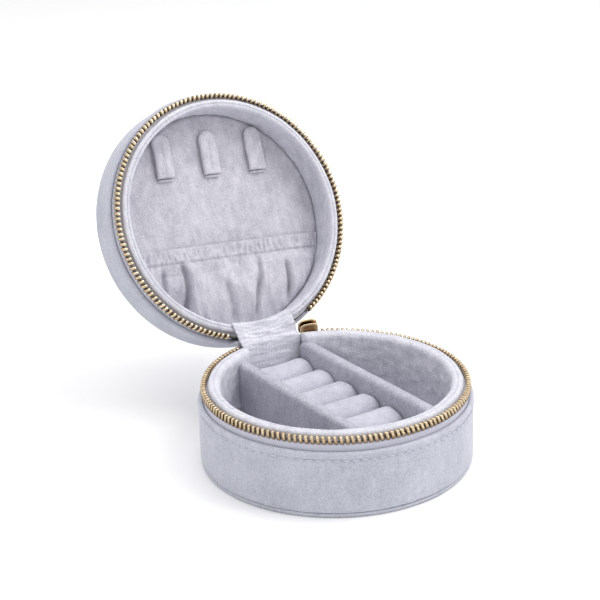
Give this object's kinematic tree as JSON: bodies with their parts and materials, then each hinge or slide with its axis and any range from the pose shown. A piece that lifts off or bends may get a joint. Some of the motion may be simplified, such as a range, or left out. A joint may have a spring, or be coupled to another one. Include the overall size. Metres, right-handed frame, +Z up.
{
  "type": "travel jewelry case",
  "caption": "Round velvet travel jewelry case with a fabric-hinged lid, ring rolls, side compartments, necklace tabs, gathered pocket and a metal zip.",
  "frame": {"origin": "centre of the base's underside", "axes": "+Z up; -Y is the front and +Y the hinge side; +X is the side where the slider stops; the lid stands open"},
  "size_m": [0.11, 0.1764, 0.1295],
  "materials": {
    "outer_velvet": "short-pile velvet, pale lavender grey",
    "lining_velvet": "short-pile velvet lining, pale lavender grey",
    "zip_tape": "woven herringbone tape",
    "zip_brass": "polished gold-coloured metal",
    "board": "grey board, uncoated",
    "foam": "soft foam",
    "elastic": "woven elastic"
  },
  "bodies": {
    "base": {"base_bottom_cover": "outer_velvet", "base_floor_board": "board", "base_wall_board": "board", "base_wall_cover": "outer_velvet", "base_zip_tape": "zip_tape", "base_zip_teeth": "zip_brass", "base_liner_board": "board", "base_wall_foam": "foam", "base_wall_lining": "lining_velvet", "base_floor_card": "board", "base_floor_lining": "lining_velvet", "divider_left_board": "board", "divider_left_cover": "lining_velvet", "divider_right_board": "board", "divider_right_cover": "lining_velvet", "ring_tray_board": "board", "ring_roll_foam_1": "foam", "ring_roll_cover_1": "lining_velvet", "ring_roll_foam_2": "foam", "ring_roll_cover_2": "lining_velvet", "ring_roll_foam_3": "foam", "ring_roll_cover_3": "lining_velvet", "ring_roll_foam_4": "foam", "ring_roll_cover_4": "lining_velvet", "ring_roll_foam_5": "foam", "ring_roll_cover_5": "lining_velvet", "ring_roll_foam_6": "foam", "ring_roll_cover_6": "lining_velvet", "hinge_outer_panel": "outer_velvet", "hinge_inner_panel": "lining_velvet"},
    "lid": {"lid_wall_board": "board", "lid_wall_cover": "outer_velvet", "lid_top_board": "board", "lid_top_padding": "foam", "lid_top_cover": "outer_velvet", "lid_zip_tape": "zip_tape", "lid_zip_teeth": "zip_brass", "lid_liner_board": "board", "lid_lining_card": "board", "lid_wall_lining": "lining_velvet", "lid_spacer_foam": "foam", "lid_panel_board": "board", "lid_panel_cover": "lining_velvet", "pocket_front": "lining_velvet", "pocket_hem": "lining_velvet", "pocket_elastic": "elastic", "hook_tab_anchors": "lining_velvet"},
    "tab_left": {"hook_tab_left_cover": "lining_velvet", "hook_tab_left_core": "board"},
    "tab_middle": {"hook_tab_middle_cover": "lining_velvet", "hook_tab_middle_core": "board"},
    "tab_right": {"hook_tab_right_cover": "lining_velvet", "hook_tab_right_core": "board"},
    "slider": {"zip_slider_body": "zip_brass", "zip_slider_bail": "zip_brass"},
    "pull": {"zip_pull": "zip_brass"}
  },
  "joints": [
    {"name": "lid_hinge", "type": "hinge", "parent": "base", "child": "lid", "pos_m": [0, 0.0534, 0.0338], "axis": [1, 0, 0], "range_deg": [0, 116.2], "deforming": ["hinge_inner_panel", "hinge_outer_panel"]},
    {"name": "hook_tab_left_flex", "type": "hinge", "parent": "lid", "child": "tab_left", "pos_m": [-0.0206, 0.09848, 0.09619], "axis": [0.9969, -0.0346, -0.0704], "range_deg": [0, 25], "stiffness_Nm_per_rad": 0.002},
    {"name": "hook_tab_middle_flex", "type": "hinge", "parent": "lid", "child": "tab_middle", "pos_m": [0.00163, 0.09771, 0.09462], "axis": [0.9969, -0.0346, -0.0704], "range_deg": [0, 25], "stiffness_Nm_per_rad": 0.002},
    {"name": "hook_tab_right_flex", "type": "hinge", "parent": "lid", "child": "tab_right", "pos_m": [0.02386, 0.09693, 0.09305], "axis": [0.9969, -0.0346, -0.0704], "range_deg": [0, 25], "stiffness_Nm_per_rad": 0.002},
    {"name": "zip_slide", "type": "hinge", "parent": "base", "child": "slider", "pos_m": [0, 0, 0.0338], "axis": [0, 0, -1], "range_deg": [0, 318]},
    {"name": "pull_swing", "type": "hinge", "parent": "slider", "child": "pull", "pos_m": [0.01987, 0.05321, 0.0338], "axis": [0.9368, -0.3498, 0], "range_deg": [-2, 60]}
  ]
}
